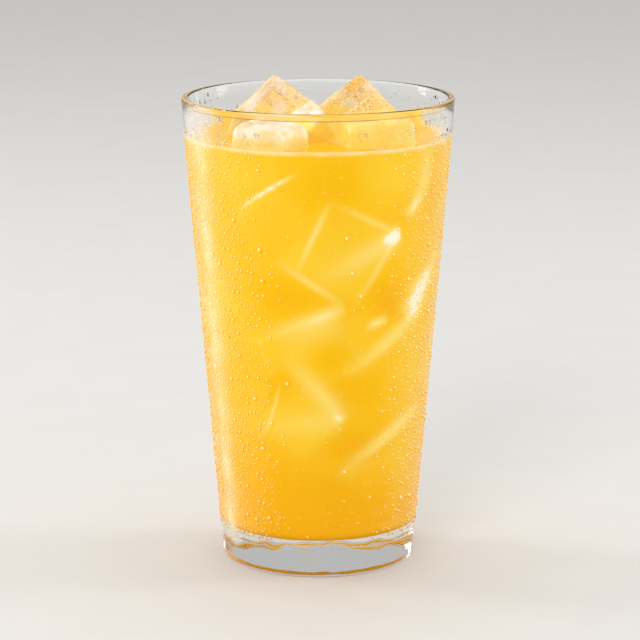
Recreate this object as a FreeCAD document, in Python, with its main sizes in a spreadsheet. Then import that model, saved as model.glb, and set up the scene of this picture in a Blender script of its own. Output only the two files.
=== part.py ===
import FreeCAD, Part
import math
import os

import Sketcher

# A tall conical drinking glass of fruit juice with ice, in millimetres and degrees.
# +Z is up, and the origin is the centre of the ring that the glass stands on.
# -Y is the front, -X the left.

doc = FreeCAD.newDocument("GlassOfJuice")

# ---------------------------------------------------------------- driving sizes
# Each row of the sheet: what the size is, its value, and its alias.
driving = [
    ("foot ring to rim", 150.0, "glassHeight"),
    ("outside of the rim", 86.8, "rimDiameter"),
    ("outside of the cone where it meets the table", 61.3, "footDiameter"),
    ("wall at the rim", 2.0, "rimWall"),
    ("wall at the cavity's floor", 3.0, "footWall"),
    ("solid glass under the cavity", 12.0, "baseThickness"),
    ("rounding of the outer foot edge", 2.0, "heelRadius"),
    ("rounding between the cavity's floor and wall", 3.0, "cavityCorner"),
    ("rounding of each edge of the rim", 0.9, "rimRound"),
    ("shallow hollow under the base", 46.0, "hollowDiameter"),
    ("depth of that hollow in the middle", 0.9, "hollowDepth"),
    ("rim down to the flat surface of the juice", 12.5, "rimToJuice"),
    ("how far the juice climbs the wall", 0.8, "climbRise"),
    ("how wide that climb is", 1.2, "climbWidth"),
    ("clearance between the juice and the glass", 0.05, "juiceFit"),
    ("clearance between the ice and the glass", 0.4, "iceFit"),
    ("how far ice may stand above the rim", 20.0, "iceHeadroom"),
]

# Each piece of ice: edge, melted rounding, bearing from +X, cavity wall to its centre,
# its centre above the juice, and its turn as yaw, pitch and roll.
iceCubes = {
    "ice_cube_1": (22.0, 1.8, 160.1, 25.1, 0.5, (162.1, -34.2, 56.8)),
    "ice_cube_2": (22.0, 1.8, 61.3, 16.8, -1.2, (37.4, -28.4, 49.9)),
    "ice_cube_3": (18.5, 2.4, 238.6, 11.8, -2.3, (-33.0, 4.0, -3.0)),
    "ice_cube_4": (21.0, 2.4, 315.0, 15.5, -1.9, (15.0, -4.0, 4.0)),
    "ice_chip": (10.0, 1.6, 261.3, 27.1, 5.1, (0.0, -34.0, 46.0)),
}

for node, (edge, melt, bearing, inset, rise, turn) in iceCubes.items():
    word = node.replace("_", "")
    driving.append((node + " edge", edge, word + "Edge"))
    driving.append((node + " melted rounding", melt, word + "Melt"))
    driving.append((node + " bearing", bearing, word + "Bearing"))
    driving.append((node + " centre in from the cavity wall", inset, word + "Inset"))
    driving.append((node + " centre above the juice", rise, word + "Rise"))

sheet = doc.addObject("Spreadsheet::Sheet", "Sizes")
for row, (meaning, value, alias) in enumerate(driving, start=1):
    sheet.set(f"A{row}", meaning)
    sheet.set(f"B{row}", str(value))
    sheet.setAlias(f"B{row}", alias)
doc.recompute()

# ---------------------------------------------------------------- formulas that pieces share
rimOut = "(Sizes.rimDiameter / 2)"
footOut = "(Sizes.footDiameter / 2)"
rimIn = "(Sizes.rimDiameter / 2 - Sizes.rimWall)"
outAtFloor = f"({footOut} + ({rimOut} - {footOut}) * Sizes.baseThickness / Sizes.glassHeight)"
floorIn = f"({outAtFloor} - Sizes.footWall)"
juiceLevel = "(Sizes.glassHeight - Sizes.rimToJuice)"


def cavityAt(height):
    """Formula for the radius of the cavity's straight wall at a height."""
    share = f"({height} - Sizes.baseThickness) / (Sizes.glassHeight - Sizes.baseThickness)"
    return f"({floorIn} + ({rimIn} - {floorIn}) * {share})"


def number(formula):
    """What a formula comes to with the sheet's present values."""
    return float(sheet.evalExpression(formula))


# ---------------------------------------------------------------- sketches and features
def planeSketch(body, name, role):
    """An empty sketch on one of the body's own origin planes."""
    sketch = body.newObject("Sketcher::SketchObject", name)
    plane = [item for item in body.Origin.OriginFeatures if item.Role == role][0]
    sketch.AttachmentSupport = (plane, [""])
    sketch.MapMode = "FlatFace"
    return sketch


def hold(sketch, kind, segment, axis, name, formula):
    """Hold the start of a segment at a formula along one axis, or on the axis line for "0"."""
    if formula == "0":
        sketch.addConstraint(Sketcher.Constraint("PointOnObject", segment, 1, axis))
        return
    constraint = Sketcher.Constraint(kind, -1, 1, segment, 1, number(formula))
    index = sketch.addConstraint(constraint)
    sketch.renameConstraint(index, name)
    sketch.setExpression("Constraints." + name, formula)


def levelArc(start, end, levelEnd):
    """A counter-clockwise arc that is level at its start (1) or at its end (2)."""
    level, other = (start, end) if levelEnd == 1 else (end, start)
    across = other.x - level.x
    up = other.y - level.y
    radius = (across ** 2 + up ** 2) / (2 * up)
    centre = FreeCAD.Vector(level.x, level.y + radius, 0)
    circle = Part.Circle(centre, FreeCAD.Vector(0, 0, 1), abs(radius))
    first = math.atan2(start.y - centre.y, start.x - centre.x)
    last = math.atan2(end.y - centre.y, end.x - centre.x)
    return Part.ArcOfCircle(circle, first, last)


def outline(sketch, corners, arcFrom=None, levelEnd=1):
    """A closed outline through corners, each a name and its formulas across and up.

    The segment that leaves the corner named arcFrom is an arc, the others are straight.
    """
    points = [FreeCAD.Vector(number(across), number(up), 0) for name, across, up in corners]
    count = len(corners)
    for index, (name, across, up) in enumerate(corners):
        start = points[index]
        end = points[(index + 1) % count]
        if name == arcFrom:
            sketch.addGeometry(levelArc(start, end, levelEnd), False)
        else:
            sketch.addGeometry(Part.LineSegment(start, end), False)
    for index, (name, across, up) in enumerate(corners):
        following = (index + 1) % count
        sketch.addConstraint(Sketcher.Constraint("Coincident", index, 2, following, 1))
        hold(sketch, "DistanceX", index, -2, name + "Across", across)
        hold(sketch, "DistanceY", index, -1, name + "Up", up)
        if name == arcFrom:
            sketch.addConstraint(Sketcher.Constraint("Vertical", index, 3, index, levelEnd))


def turned(body, name, sketch):
    """The sketch turned once round the vertical axis."""
    feature = body.newObject("PartDesign::Revolution", name)
    feature.Profile = sketch
    feature.ReferenceAxis = (sketch, ["V_Axis"])
    feature.Angle = 360.0
    doc.recompute()
    return feature


def roundRing(body, name, base, radius, height, size):
    """Round the circular edge of a given radius and height by a size from the sheet."""
    near = 0.01
    names = []
    for index, edge in enumerate(base.Shape.Edges, start=1):
        if edge.Degenerated or not isinstance(edge.Curve, Part.Circle):
            continue
        curve = edge.Curve
        if abs(curve.Radius - number(radius)) < near and abs(curve.Center.z - number(height)) < near:
            names.append(f"Edge{index}")
    feature = body.newObject("PartDesign::Fillet", name)
    feature.Base = (base, names)
    feature.setExpression("Radius", size)
    doc.recompute()
    return feature


def combined(kind, name, base, tool):
    """A boolean of two objects: Part::Cut or Part::Common."""
    feature = doc.addObject(kind, name)
    feature.Base = base
    feature.Tool = tool
    doc.recompute()
    return feature


# ---------------------------------------------------------------- the glass
def makeGlass():
    """One turned solid: thick base, tapering wall, rounded rim and heel, hollow underneath."""
    body = doc.addObject("PartDesign::Body", "Glass")
    sketch = planeSketch(body, "GlassOutline", "XZ_Plane")
    corners = [
        ("floorMiddle", "0", "Sizes.baseThickness"),
        ("floorEdge", floorIn, "Sizes.baseThickness"),
        ("rimInner", rimIn, "Sizes.glassHeight"),
        ("rimOuter", rimOut, "Sizes.glassHeight"),
        ("heel", footOut, "0"),
        ("ring", "Sizes.hollowDiameter / 2", "0"),
        ("hollowMiddle", "0", "Sizes.hollowDepth"),
    ]
    outline(sketch, corners, arcFrom="ring", levelEnd=2)
    solid = turned(body, "GlassTurned", sketch)
    corner = roundRing(body, "GlassFloorCorner", solid, floorIn, "Sizes.baseThickness",
                       "Sizes.cavityCorner")
    heel = roundRing(body, "GlassHeel", corner, footOut, "0", "Sizes.heelRadius")
    inner = roundRing(body, "GlassRimInner", heel, rimIn, "Sizes.glassHeight", "Sizes.rimRound")
    roundRing(body, "GlassRimOuter", inner, rimOut, "Sizes.glassHeight", "Sizes.rimRound")
    body.Label = "glass"
    return body


# ---------------------------------------------------------------- the ice
def makeIceRoom():
    """The space that ice may fill: the cavity less a clearance, carried on above the rim."""
    top = "(Sizes.glassHeight + Sizes.iceHeadroom)"
    room = doc.addObject("Part::Cone", "IceRoom")
    room.setExpression("Radius1", f"{floorIn} - Sizes.iceFit")
    room.setExpression("Radius2", f"{cavityAt(top)} - Sizes.iceFit")
    room.setExpression("Height", f"{top} - Sizes.baseThickness")
    room.setExpression("Placement.Base.z", "Sizes.baseThickness")
    doc.recompute()
    return room


def makeBlank(node, turn):
    """A cube with melted edges, centred on its body's origin and put in its place."""
    word = node.replace("_", "")
    edge = f"Sizes.{word}Edge"
    half = f"({edge} / 2)"
    body = doc.addObject("PartDesign::Body", word + "Blank")
    sketch = planeSketch(body, word + "Square", "XY_Plane")
    square = [
        ("frontLeft", "-" + half, "-" + half),
        ("frontRight", half, "-" + half),
        ("backRight", half, half),
        ("backLeft", "-" + half, half),
    ]
    outline(sketch, square)
    pad = body.newObject("PartDesign::Pad", word + "Pad")
    pad.Profile = sketch
    pad.SideType = "Symmetric"
    pad.setExpression("Length", edge)
    doc.recompute()
    melted = body.newObject("PartDesign::Fillet", word + "Melted")
    melted.Base = (pad, [""])
    melted.UseAllEdges = True
    melted.setExpression("Radius", f"Sizes.{word}Melt")
    body.Placement = FreeCAD.Placement(FreeCAD.Vector(), FreeCAD.Rotation(*turn))
    out = f"({cavityAt(juiceLevel)} - Sizes.{word}Inset)"
    body.setExpression("Placement.Base.x", f"{out} * cos(Sizes.{word}Bearing)")
    body.setExpression("Placement.Base.y", f"{out} * sin(Sizes.{word}Bearing)")
    body.setExpression("Placement.Base.z", f"{juiceLevel} + Sizes.{word}Rise")
    doc.recompute()
    return body


def makeIce(node, turn, room, neighbours):
    """One piece of ice, kept off the wall and worn flat where it would meet earlier pieces."""
    word = node.replace("_", "")
    piece = combined("Part::Common", word + "Inside", makeBlank(node, turn), room)
    for count, other in enumerate(neighbours, start=1):
        piece = combined("Part::Cut", f"{word}Beside{count}", piece, other)
    piece.Label = node
    return piece


# ---------------------------------------------------------------- the juice
def makeJuice(ice):
    """The cavity filled up to the level, climbing the wall a little, less the ice in it."""
    body = doc.addObject("PartDesign::Body", "JuiceFill")
    sketch = planeSketch(body, "JuiceOutline", "XZ_Plane")
    wallTop = f"({juiceLevel} + Sizes.climbRise)"
    bottom = "(Sizes.baseThickness + Sizes.juiceFit)"
    corners = [
        ("surfaceMiddle", "0", juiceLevel),
        ("surfaceEdge", f"{cavityAt(juiceLevel)} - Sizes.juiceFit - Sizes.climbWidth", juiceLevel),
        ("wallTop", f"{cavityAt(wallTop)} - Sizes.juiceFit", wallTop),
        ("bottomEdge", f"{cavityAt(bottom)} - Sizes.juiceFit", bottom),
        ("bottomMiddle", "0", bottom),
    ]
    outline(sketch, corners, arcFrom="surfaceEdge", levelEnd=1)
    solid = turned(body, "JuiceTurned", sketch)
    roundRing(body, "JuiceBottomCorner", solid, f"{cavityAt(bottom)} - Sizes.juiceFit", bottom,
              "Sizes.cavityCorner - Sizes.juiceFit")
    piece = body
    for count, cube in enumerate(ice, start=1):
        piece = combined("Part::Cut", f"JuiceRound{count}", piece, cube)
    piece.Label = "juice"
    return piece


# ---------------------------------------------------------------- assembly
glass = makeGlass()
iceRoom = makeIceRoom()
ice = []
for node, values in iceCubes.items():
    ice.append(makeIce(node, values[-1], iceRoom, ice))
juice = makeJuice(ice)
doc.recompute()

# ---------------------------------------------------------------- checks and files
for item in doc.Objects:
    if "Invalid" in item.State or "Error" in item.State:
        raise RuntimeError(f"{item.Name} failed: {item.State}")

os.makedirs("parts", exist_ok=True)
subParts = [glass, juice] + ice
for item in subParts:
    shape = item.Shape
    if shape.isNull() or not shape.isValid() or len(shape.Solids) != 1:
        raise RuntimeError(f"{item.Label} is not one valid solid")
for item in subParts:
    item.Shape.exportStep(f"parts/{item.Label}.step")
    box = item.Shape.BoundBox
    print(f"{item.Label}: {item.Shape.Volume / 1000:.2f} cm3, z {box.ZMin:.2f} to {box.ZMax:.2f}")
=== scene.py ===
import math

import bpy
import numpy as np
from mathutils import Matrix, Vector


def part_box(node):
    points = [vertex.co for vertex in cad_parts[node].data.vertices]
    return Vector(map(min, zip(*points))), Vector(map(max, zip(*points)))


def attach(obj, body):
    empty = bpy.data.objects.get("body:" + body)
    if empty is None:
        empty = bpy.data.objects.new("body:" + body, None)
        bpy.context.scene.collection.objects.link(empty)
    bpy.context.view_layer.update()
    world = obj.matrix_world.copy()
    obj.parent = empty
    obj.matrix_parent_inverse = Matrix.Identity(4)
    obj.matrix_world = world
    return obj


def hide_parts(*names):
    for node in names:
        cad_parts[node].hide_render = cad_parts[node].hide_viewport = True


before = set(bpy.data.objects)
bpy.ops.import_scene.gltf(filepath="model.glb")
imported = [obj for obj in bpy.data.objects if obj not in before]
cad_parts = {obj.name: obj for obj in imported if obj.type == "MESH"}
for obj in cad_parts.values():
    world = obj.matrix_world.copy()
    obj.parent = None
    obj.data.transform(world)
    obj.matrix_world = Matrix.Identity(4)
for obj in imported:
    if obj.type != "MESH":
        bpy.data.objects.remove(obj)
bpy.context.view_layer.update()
print("frame loaded:", ", ".join(sorted(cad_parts)))

mm = 0.001
glassLow, glassHigh = (np.array(corner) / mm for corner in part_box("glass"))
juiceLow, juiceHigh = (np.array(corner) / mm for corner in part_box("juice"))

tumbler = {
    "rimDiameter": 86.8,
    "footDiameter": 61.3,
    "rimWall": 2.0,
    "footWall": 3.0,
    "baseThickness": 12.0,
    "heelRound": 2.0,
    "cavityCorner": 3.0,
    "rimRound": 0.9,
    "hollowDiameter": 46.0,
    "hollowDepth": 0.9,
    "hollowRound": 0.4,
    "columns": 256,
    "longestStep": 4.0,
    "arcSteps": 8,
}
frontBearing = 270.0
wallTop = glassHigh[2]
climb = 0.8  # how far the juice climbs the wall
juiceLevel = juiceHigh[2] - climb


def outerRadius(height):
    # a straight slope from the foot to the rim
    foot, rim = tumbler["footDiameter"] / 2, tumbler["rimDiameter"] / 2
    return foot + (rim - foot) * height / wallTop


def cavityRadius(height):
    # a straight slope too, with a wall that gets thinner from the foot to the rim
    base = tumbler["baseThickness"]
    foot = outerRadius(base) - tumbler["footWall"]
    rim = tumbler["rimDiameter"] / 2 - tumbler["rimWall"]
    return foot + (rim - foot) * (height - base) / (wallTop - base)


def onCircle(radius, angle, height):
    # points at a radius round the upright axis, at an angle in radians from +x
    return np.stack([radius * np.cos(angle), radius * np.sin(angle), height + 0 * angle], axis=-1)


def fromFront(angle):
    # an angle in radians from +x as degrees from the front, positive to the right, from -180 to 180
    return (np.degrees(angle) - frontBearing + 180) % 360 - 180


def bearingOf(points):
    # the angle of each point round the upright axis, from the front
    return fromFront(np.arctan2(points[..., 1], points[..., 0]))


def mostlySmall(dice, limits, shape, power):
    # random sizes between two limits: an even share to a power, so that a high power gives many small ones
    low, high = limits
    return low + (high - low) * dice.uniform(0, 1, shape) ** power


# ---- making meshes ----
def withOnes(values):
    # a fourth column of ones, which a colour attribute needs
    return np.concatenate([values, np.ones((len(values), 1))], axis=-1)


def addToScene(name, data):
    # a new object at the origin, in the scene
    thing = bpy.data.objects.new(name, data)
    bpy.context.scene.collection.objects.link(thing)
    return thing


def putMesh(name, points, faceSets, finish, attributes=None, flatSet=None):
    # puts whole arrays of points and faces into a new object that rides on the one body;
    # the faces of flatSet are shaded flat, with a sharp edge all round
    sizes = np.concatenate([np.full(len(faces), faces.shape[1]) for faces in faceSets])
    corners = np.concatenate([faces.ravel() for faces in faceSets])
    mesh = bpy.data.meshes.new(name)
    mesh.vertices.add(len(points))
    mesh.vertices.foreach_set("co", (points * mm).astype(np.float32).ravel())
    mesh.loops.add(len(corners))
    mesh.loops.foreach_set("vertex_index", corners.astype(np.int32))
    mesh.polygons.add(len(sizes))
    mesh.polygons.foreach_set("loop_start", (np.cumsum(sizes) - sizes).astype(np.int32))
    mesh.update(calc_edges=True)
    mesh.shade_smooth()
    if flatSet is not None:
        owners = np.repeat(np.arange(len(faceSets)), [len(faces) for faces in faceSets])
        flat = mesh.attributes.new("sharp_face", "BOOLEAN", "FACE")
        flat.data.foreach_set("value", owners == flatSet)
    for key, values in (attributes or {}).items():
        if values.ndim == 2:
            layer = mesh.color_attributes.new(key, "FLOAT_COLOR", "POINT")
            layer.data.foreach_set("color", values.astype(np.float32).ravel())
        else:
            layer = mesh.attributes.new(key, "FLOAT", "POINT")
            layer.data.foreach_set("value", values.astype(np.float32))
    mesh.materials.append(finish)
    piece = addToScene(name, mesh)
    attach(piece, "root")
    print(f"{name}: {len(points)} points, {int((sizes - 2).sum())} triangles")
    return piece


def ringFaces(rows, columns, first=0):
    # four-cornered faces between neighbouring rows, closed round the columns
    row, column = np.meshgrid(np.arange(rows - 1), np.arange(columns), indexing="ij")
    here = first + row * columns + column
    beside = first + row * columns + (column + 1) % columns
    return np.stack([here, beside, beside + columns, here + columns], axis=-1).reshape(-1, 4)


def fanFaces(pole, ring, upward):
    # three-cornered faces from one pole to every step of a closed ring
    after = np.roll(ring, -1)
    poles = np.full(len(ring), pole)
    order = [poles, ring, after] if upward else [poles, after, ring]
    return np.stack(order, axis=-1)


def turnedFaces(rows, columns):
    # a closed turned skin: rows of columns, then the starting pole and the ending pole
    count = rows * columns
    start = fanFaces(count, np.arange(columns), False)
    end = fanFaces(count + 1, np.arange(count - columns, count), True)
    return [ringFaces(rows, columns), start, end]


def roundedOutline(corners, arcSteps):
    # straight runs between (radius, height, rounding) corners, each corner an arc that touches both runs
    # and leaves each the rounding over the tangent of half the angle between them from the corner
    path = [np.array([corners[0][:2]])]
    for before, here, after in zip(corners, corners[1:], corners[2:]):
        corner = np.array(here[:2])
        back = np.array(before[:2]) - corner
        ahead = np.array(after[:2]) - corner
        back /= np.linalg.norm(back)
        ahead /= np.linalg.norm(ahead)
        half = 0.5 * math.acos(np.clip(back @ ahead, -1, 1))
        middle = corner + (back + ahead) / np.linalg.norm(back + ahead) * here[2] / math.sin(half)
        start = corner + back * here[2] / math.tan(half) - middle
        side = corner + ahead * here[2] / math.tan(half) - middle
        turn = math.atan2(start[0] * side[1] - start[1] * side[0], start @ side)
        angles = np.linspace(0, turn, arcSteps)
        arc = np.stack([start[0] * np.cos(angles) - start[1] * np.sin(angles),
                        start[0] * np.sin(angles) + start[1] * np.cos(angles)], axis=-1)
        path.append(middle + arc)
    path.append(np.array([corners[-1][:2]]))
    return np.concatenate(path)


def closerSteps(path, longest):
    # the same outline with extra points, so that no step is longer than longest
    lengths = np.linalg.norm(np.diff(path, axis=0), axis=1)
    parts = np.maximum(np.ceil(lengths / longest).astype(int), 1)
    along = np.concatenate([np.arange(count) / count + step for step, count in enumerate(parts)])
    along = np.append(along, len(parts))
    places = np.arange(len(path))
    return np.stack([np.interp(along, places, path[:, axis]) for axis in (0, 1)], axis=-1)


def ripple(points, length, seed, waves=7):
    # smooth unevenness, mostly from -1 to 1: the mean of sine waves of about that length in scattered
    # directions, made 1.6 times as strong
    dice = np.random.default_rng(seed)
    total = np.zeros(points.shape[:-1])
    for _ in range(waves):
        direction = dice.normal(size=3)
        direction *= 2 * math.pi / (length * dice.uniform(0.7, 1.5)) / np.linalg.norm(direction)
        total += np.sin(points @ direction + dice.uniform(0, 2 * math.pi))
    return total / waves * 1.6


def sphereDirections(columns, rows):
    # directions all round in rings from the lower pole to the upper, then the two poles themselves
    around = np.linspace(0, 2 * math.pi, columns, endpoint=False)
    down = np.linspace(math.pi, 0, rows + 2)[1:-1, None]
    rings = onCircle(np.sin(down), around, np.cos(down)).reshape(-1, 3)
    return np.concatenate([rings, [[0, 0, -1], [0, 0, 1]]])


# ---- making materials ----
class Signal:
    # a number on its way through a material: arithmetic on it adds Math nodes
    def __init__(self, kit, socket):
        self.kit = kit
        self.socket = socket

    def maths(self, operation, first, second):
        return self.kit.add("ShaderNodeMath", {"operation": operation}, {0: first, 1: second})

    def __add__(self, other):
        return self.maths("ADD", self, other)

    def __sub__(self, other):
        return self.maths("SUBTRACT", self, other)

    def __rsub__(self, other):
        return self.maths("SUBTRACT", other, self)

    def __mul__(self, other):
        return self.maths("MULTIPLY", self, other)

    def __or__(self, other):
        return self.maths("MAXIMUM", self, other)

    __radd__ = __add__
    __rmul__ = __mul__


class NodeKit:
    # adds the nodes of one material or world
    def __init__(self, tree):
        self.tree = tree
        self.tree.nodes.clear()

    def add(self, kind, settings=None, sockets=None, out=0):
        # one node: its settings first, then the values or links of its sockets; gives one of its outputs
        node = self.tree.nodes.new(kind)
        for key, value in (settings or {}).items():
            setattr(node, key, value)
        for key, value in (sockets or {}).items():
            if isinstance(value, Signal):
                self.tree.links.new(value.socket, node.inputs[key])
            else:
                node.inputs[key].default_value = value
        return Signal(self, node.outputs[out]) if node.outputs else None

    def place(self):
        # the piece's own coordinates, in metres
        return self.add("ShaderNodeTexCoord", out="Object")

    def height(self):
        return self.add("ShaderNodeSeparateXYZ", {}, {0: self.place()}, out="Z")

    def attribute(self, name, out="Fac"):
        # what the mesh carries at its points: a number, or a Color or Vector where out says so
        return self.add("ShaderNodeAttribute", {"attribute_name": name}, out=out)

    def noise(self, scale, detail=2.0, vector=None):
        return self.add("ShaderNodeTexNoise", {},
                        {"Vector": vector or self.place(), "Scale": scale, "Detail": detail})

    def between(self, value, low, high, start=0.0, end=1.0):
        # a smooth step of value from low to high
        return self.add("ShaderNodeMapRange", {"interpolation_type": "SMOOTHSTEP"},
                        {"Value": value, "From Min": low, "From Max": high, "To Min": start, "To Max": end})

    def blend(self, factor, first, second):
        return self.add("ShaderNodeMix", {"data_type": "RGBA"}, {0: factor, 6: first, 7: second}, out=2)

    def bump(self, height, strength, distance):
        return self.add("ShaderNodeBump", {}, {"Height": height, "Strength": strength, "Distance": distance})

    def principled(self, sockets):
        return self.add("ShaderNodeBsdfPrincipled", {}, sockets)

    def mixShaders(self, factor, first, second):
        return self.add("ShaderNodeMixShader", {}, {0: factor, 1: first, 2: second})

    def rayIs(self, kind):
        # 1 for rays of that kind, otherwise 0
        return self.add("ShaderNodeLightPath", out=f"Is {kind} Ray")

    def lampsThrough(self, clear, tint):
        # lets lamps and scattered light straight through a clear shader, so that what is behind it is lit
        through = self.add("ShaderNodeBsdfTransparent", {}, {"Color": tint})
        return self.mixShaders(self.rayIs("Shadow") | self.rayIs("Diffuse"), clear, through)

    def finish(self, surface, kind="ShaderNodeOutputMaterial"):
        self.add(kind, {}, {"Surface": surface})


def newMaterial(name):
    material = bpy.data.materials.new(name)
    material.use_nodes = True
    return material, NodeKit(material.node_tree)


def paint(*rgb):
    # a colour as a screen shows it, 0 to 255, as the straight-line values that a shader takes
    share = np.array(rgb) / 255
    return np.where(share <= 0.04045, share / 12.92, ((share + 0.055) / 1.055) ** 2.4)


def paintSocket(*rgb):
    # the same colour with its fourth value, as a colour socket takes it
    return (*paint(*rgb), 1.0)


clearWhite = paintSocket(255, 255, 255)


# ---- the tumbler ----
glassLook = {
    "tint": (250, 252, 252),
    "ior": 1.5,
    "shine": (0.25, 0.25, 0.25, 1),
    "mistScale": 1500.0,
    "mistDistance": 0.00006,
    "waveScale": 110.0,
    "waveDistance": 0.0005,
    # the pale layer on the outer glass is condensation with painted sheen: its colour, its colour over the
    # juice, how much at most, how rough, and how much at the left and right, more at the left where the light
    # falls
    "mistAndSheenColour": (249, 243, 240),
    "mistAndSheenOnJuice": (255, 242, 188),
    "mistAndSheenMost": 0.50,
    "mistAndSheenRoughness": 0.4,
    "mistAndSheenSides": (0.6, 0.12),  # left, right
    "patchScale": 75.0,
    # painted highlight: a streak down the left of the glass, where the lamp shines on it
    "paintedHighlightStreak": (-60.5, 6.0, 1.15),  # bearing, width, amount
    # painted reflections of the lamps above the juice: bearing, height, width, tall, amount
    "paintedReflectionsAbove": [(-61.0, 144.0, 11.0, 6.5, 2.1), (61.0, 143.0, 11.0, 4.0, 0.7)],
    # painted at the front of the lip: a highlight in the colour of the juice over a dark painted shade line
    "lipJuiceHighlight": (252, 198, 78),
    "lipShadeLine": (150, 100, 34),
    "lipTall": 2.35,
    "lipReach": 62.0,
    "lipCover": 0.72,
    "lipRoughness": 0.25,
    "lipScale": 90.0,
    "lipLineTall": 0.25,
    "skinDepth": 0.3,
    "pressedAbove": 0.5,
    "lampTint": (248, 249, 249),
}


def clearGlassFinish():
    # clear glass that is clouded with condensation and painted sheen where its attribute says, a little waved
    # where it was pressed, and painted at the front of the lip with a highlight and a shade line
    look = glassLook
    material, kit = newMaterial("clearGlass")
    mistAndSheen, height = kit.attribute("mistAndSheen"), kit.height()
    cells = kit.add("ShaderNodeTexVoronoi", {"feature": "SMOOTH_F1"},
                    {"Vector": kit.place(), "Scale": look["mistScale"]})
    waves = kit.noise(look["waveScale"], 1.0) * kit.attribute("pressed")
    relief = (1 - cells) * mistAndSheen * look["mistDistance"] + waves * look["waveDistance"]
    grain = kit.bump(relief, 1.0, 1.0)
    clear = kit.principled({
        "Base Color": paintSocket(*look["tint"]), "Roughness": 0.0, "IOR": look["ior"],
        "Specular Tint": look["shine"], "Transmission Weight": 1.0, "Normal": grain})
    # the pale layer: condensation with painted sheen, yellower over the juice
    above = kit.between(height, (juiceLevel - 1) * mm, (juiceLevel + 3) * mm)
    mistAndSheenTint = kit.blend(above, paintSocket(*look["mistAndSheenOnJuice"]), paintSocket(*look["mistAndSheenColour"]))
    mistAndSheenLayer = kit.principled({"Base Color": mistAndSheenTint, "Roughness": look["mistAndSheenRoughness"], "Normal": grain})
    patches = kit.between(kit.noise(look["patchScale"], 3.0), 0.35, 0.65, 0.35, 1.05)
    patches = patches * kit.between(cells, 0.15, 0.75, 0.6, 1.2)
    mistedAndSheened = kit.mixShaders(mistAndSheen * patches * look["mistAndSheenMost"], clear, mistAndSheenLayer)
    # painted at the front of the lip: a highlight in the colour of the juice, with a dark painted shade line
    # under it
    foot = wallTop - look["lipTall"]
    lineTop = foot + look["lipLineTall"]
    lipTint = kit.blend(kit.between(height, lineTop * mm, (lineTop + 0.2) * mm),
                        paintSocket(*look["lipShadeLine"]), paintSocket(*look["lipJuiceHighlight"]))
    lipHighlightAndShade = kit.principled({"Base Color": lipTint, "Roughness": look["lipRoughness"]})
    uneven = kit.between(kit.noise(look["lipScale"]), 0.35, 0.65, 0.7, 1.0)
    band = kit.between(height, foot * mm, (foot + 0.1) * mm) * uneven
    lipped = kit.mixShaders(kit.attribute("lip") * band * look["lipCover"], mistedAndSheened, lipHighlightAndShade)
    kit.finish(kit.lampsThrough(lipped, paintSocket(*look["lampTint"])))
    return material


def mistAndSheenOver(points):
    # how pale the outer wall is with condensation and painted sheen: a painted highlight streak down the
    # left, a little condensation with painted sheen at both sides, more at the left where the light falls,
    # none at the foot, front and back, and painted reflections of the lamps in patches above the juice;
    # streak and patches fade with e to the power of minus the squared distance from their middle
    around, height = bearingOf(points), points[:, 2]
    sideways = points[:, 0] / np.hypot(points[:, 0], points[:, 1]).clip(1)
    left, far = sideways < 0, np.abs(sideways)
    most = np.where(left, *glassLook["mistAndSheenSides"]) * (1 - 0.6 * np.clip((far - 0.95) / 0.05, 0, 1))
    mistAndSheenShare = most * far ** np.where(left, 5, 8)
    bearing, wide, amount = glassLook["paintedHighlightStreak"]
    mistAndSheenShare = mistAndSheenShare + amount * np.exp(-((around - bearing) / wide) ** 2)
    mistAndSheenShare *= np.clip((juiceLevel + 4 - height) / 8, 0, 1) * np.clip((height - 5) / 8, 0, 1)
    for bearing, middle, wide, tall, amount in glassLook["paintedReflectionsAbove"]:
        mistAndSheenShare += amount * np.exp(-((around - bearing) / wide) ** 2 - ((height - middle) / tall) ** 2)
    return np.clip(mistAndSheenShare, 0, 2)


def makeTumbler():
    # a closed turned skin: the hollow underneath, the foot, the outer wall, the rim, and down the inside
    size = tumbler
    hollow, foot, rim = size["hollowDiameter"] / 2, size["footDiameter"] / 2, size["rimDiameter"] / 2
    corners = [
        (0, size["hollowDepth"], 0),
        (hollow - size["hollowDepth"], size["hollowDepth"], size["hollowRound"]),
        (hollow, 0, size["hollowRound"]),
        (foot, 0, size["heelRound"]),
        (rim, wallTop, size["rimRound"]),
        (rim - size["rimWall"], wallTop, size["rimRound"]),
        (cavityRadius(size["baseThickness"]), size["baseThickness"], size["cavityCorner"]),
        (0, size["baseThickness"], 0),
    ]
    outline = closerSteps(roundedOutline(corners, size["arcSteps"]), size["longestStep"])
    rings = outline[1:-1]
    angle = np.linspace(0, 2 * math.pi, size["columns"], endpoint=False)
    points = onCircle(rings[:, :1], angle, rings[:, 1:]).reshape(-1, 3)
    points = np.concatenate([points, [[0, 0, outline[0, 1]], [0, 0, outline[-1, 1]]]])
    away = np.hypot(points[:, 0], points[:, 1])
    outside = away > outerRadius(points[:, 2]) - glassLook["skinDepth"]
    pressed = np.clip((size["baseThickness"] + glassLook["pressedAbove"] - points[:, 2]) / 2, 0, 1)
    # the front of the lip, outside, where the painted highlight and shade line go
    lip = outside * np.exp(-(bearingOf(points) / glassLook["lipReach"]) ** 4)
    faceSets = turnedFaces(len(rings), size["columns"])
    piece = putMesh("tumbler", points, faceSets, clearGlassFinish(),
                    {"mistAndSheen": outside * mistAndSheenOver(points), "pressed": pressed, "lip": lip})
    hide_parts("glass")


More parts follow.
